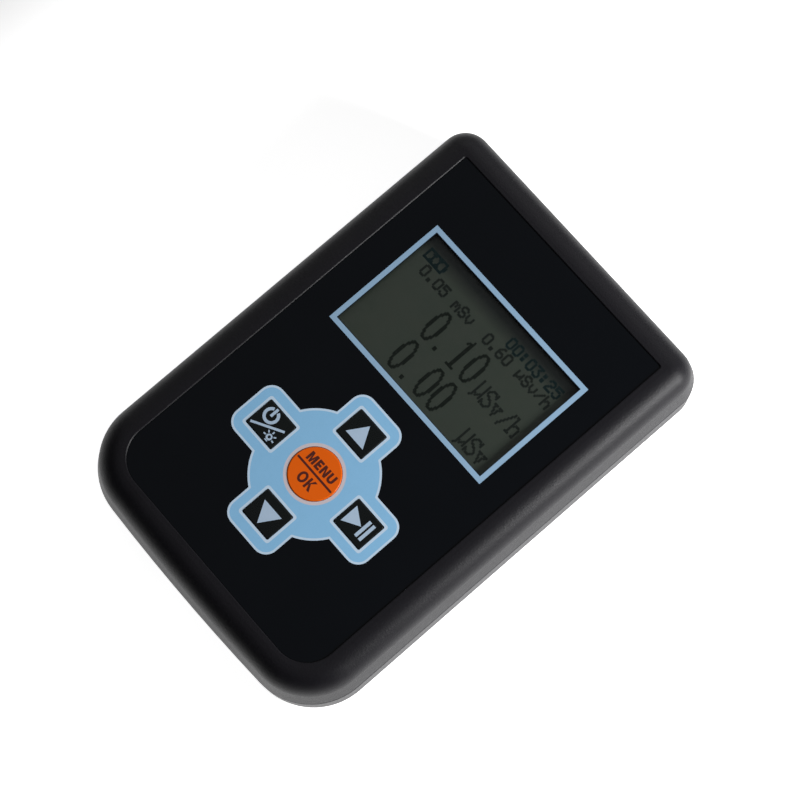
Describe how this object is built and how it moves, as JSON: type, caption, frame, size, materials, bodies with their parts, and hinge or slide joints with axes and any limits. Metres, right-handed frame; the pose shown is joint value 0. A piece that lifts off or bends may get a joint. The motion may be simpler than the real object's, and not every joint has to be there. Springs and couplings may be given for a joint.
{
  "type": "geiger counter",
  "caption": "Flat handheld radiation meter with a graphic display, a cross of keys round an orange centre key, and a battery door in the back.",
  "frame": {"origin": "middle of the back face, on the surface that the meter lies on", "axes": "+Z out of the front panel, +Y towards the display end, +X to the right as the display is read"},
  "size_m": [0.082, 0.121, 0.023],
  "materials": {
    "case_plastic": "fine matt spark texture, satin on the rounded edge",
    "label_print": "satin printed sheet, near black, with light blue fields and pale outlines",
    "clear_window": "clear, faint anti-glare haze",
    "black_foam": "matt closed-cell foam",
    "sheet_steel": "tinned sheet, fine rolling lines",
    "display_glass": "dark grey-green liquid-crystal face",
    "light_guide": "milky",
    "contact_rubber": "matt",
    "circuit_board": "green solder mask with tracks and pads",
    "screw_steel": "zinc plated",
    "black_screw_steel": "black oxide",
    "switch_body": "matt",
    "chip_package": "matt epoxy with tinned leads",
    "crystal_can": "satin",
    "ferrite": "dark grey ceramic",
    "film_capacitor": "dipped, brick red",
    "capacitor_can": "satin can",
    "buzzer_case": "satin",
    "tube_metal": "drawn metal, fine lines along the tube",
    "brass_caps": "turned",
    "cell_sleeve": "shrink sleeve with a plain coloured band, bare metal ends",
    "contact_metal": "nickel plated",
    "spring_wire": "nickel-plated wire",
    "switch_plunger": "matt",
    "key_black": "satin black with a pale lavender sign",
    "menu_key_orange": "satin orange with dark lettering"
  },
  "bodies": {
    "case": {"front_shell": "case_plastic", "back_shell": "case_plastic", "front_label": "label_print", "display_window": "clear_window", "display_gasket": "black_foam", "display_bezel": "sheet_steel", "display_glass": "display_glass", "display_backlight": "light_guide", "display_connector": "contact_rubber", "main_board": "circuit_board", "board_screws": "screw_steel", "case_screws": "black_screw_steel", "switch_housings": "switch_body", "microcontroller": "chip_package", "quartz_crystal": "crystal_can", "high_voltage_transformer": "ferrite", "high_voltage_capacitors": "film_capacitor", "filter_capacitor": "capacitor_can", "buzzer": "buzzer_case", "geiger_tube": "tube_metal", "tube_end_caps": "brass_caps", "tube_clips": "sheet_steel", "battery_left": "cell_sleeve", "battery_right": "cell_sleeve", "battery_terminals": "contact_metal", "battery_bridge": "contact_metal", "battery_springs": "spring_wire"},
    "door": {"battery_door": "case_plastic"},
    "power_light_key": {"key_power_light": "key_black", "switch_plunger_power_light": "switch_plunger"},
    "up_key": {"key_up": "key_black", "switch_plunger_up": "switch_plunger"},
    "down_key": {"key_down": "key_black", "switch_plunger_down": "switch_plunger"},
    "play_pause_key": {"key_play_pause": "key_black", "switch_plunger_play_pause": "switch_plunger"},
    "menu_ok_key": {"key_menu_ok": "menu_key_orange", "switch_plunger_menu_ok": "switch_plunger"}
  },
  "joints": [
    {"name": "power_light_press", "type": "slide", "parent": "case", "child": "power_light_key", "axis": [0, 0, -1], "range_m": [0, 0.0005], "stiffness_N_per_m": 3000},
    {"name": "up_press", "type": "slide", "parent": "case", "child": "up_key", "axis": [0, 0, -1], "range_m": [0, 0.0005], "stiffness_N_per_m": 3000},
    {"name": "down_press", "type": "slide", "parent": "case", "child": "down_key", "axis": [0, 0, -1], "range_m": [0, 0.0005], "stiffness_N_per_m": 3000},
    {"name": "play_pause_press", "type": "slide", "parent": "case", "child": "play_pause_key", "axis": [0, 0, -1], "range_m": [0, 0.0005], "stiffness_N_per_m": 3000},
    {"name": "menu_ok_press", "type": "slide", "parent": "case", "child": "menu_ok_key", "axis": [0, 0, -1], "range_m": [0, 0.0005], "stiffness_N_per_m": 3000},
    {"name": "door_tilt", "type": "hinge", "parent": "case", "child": "door", "pos_m": [-0.0145, 0.008, 0], "axis": [1, 0, 0], "range_deg": [0, 65]}
  ]
}
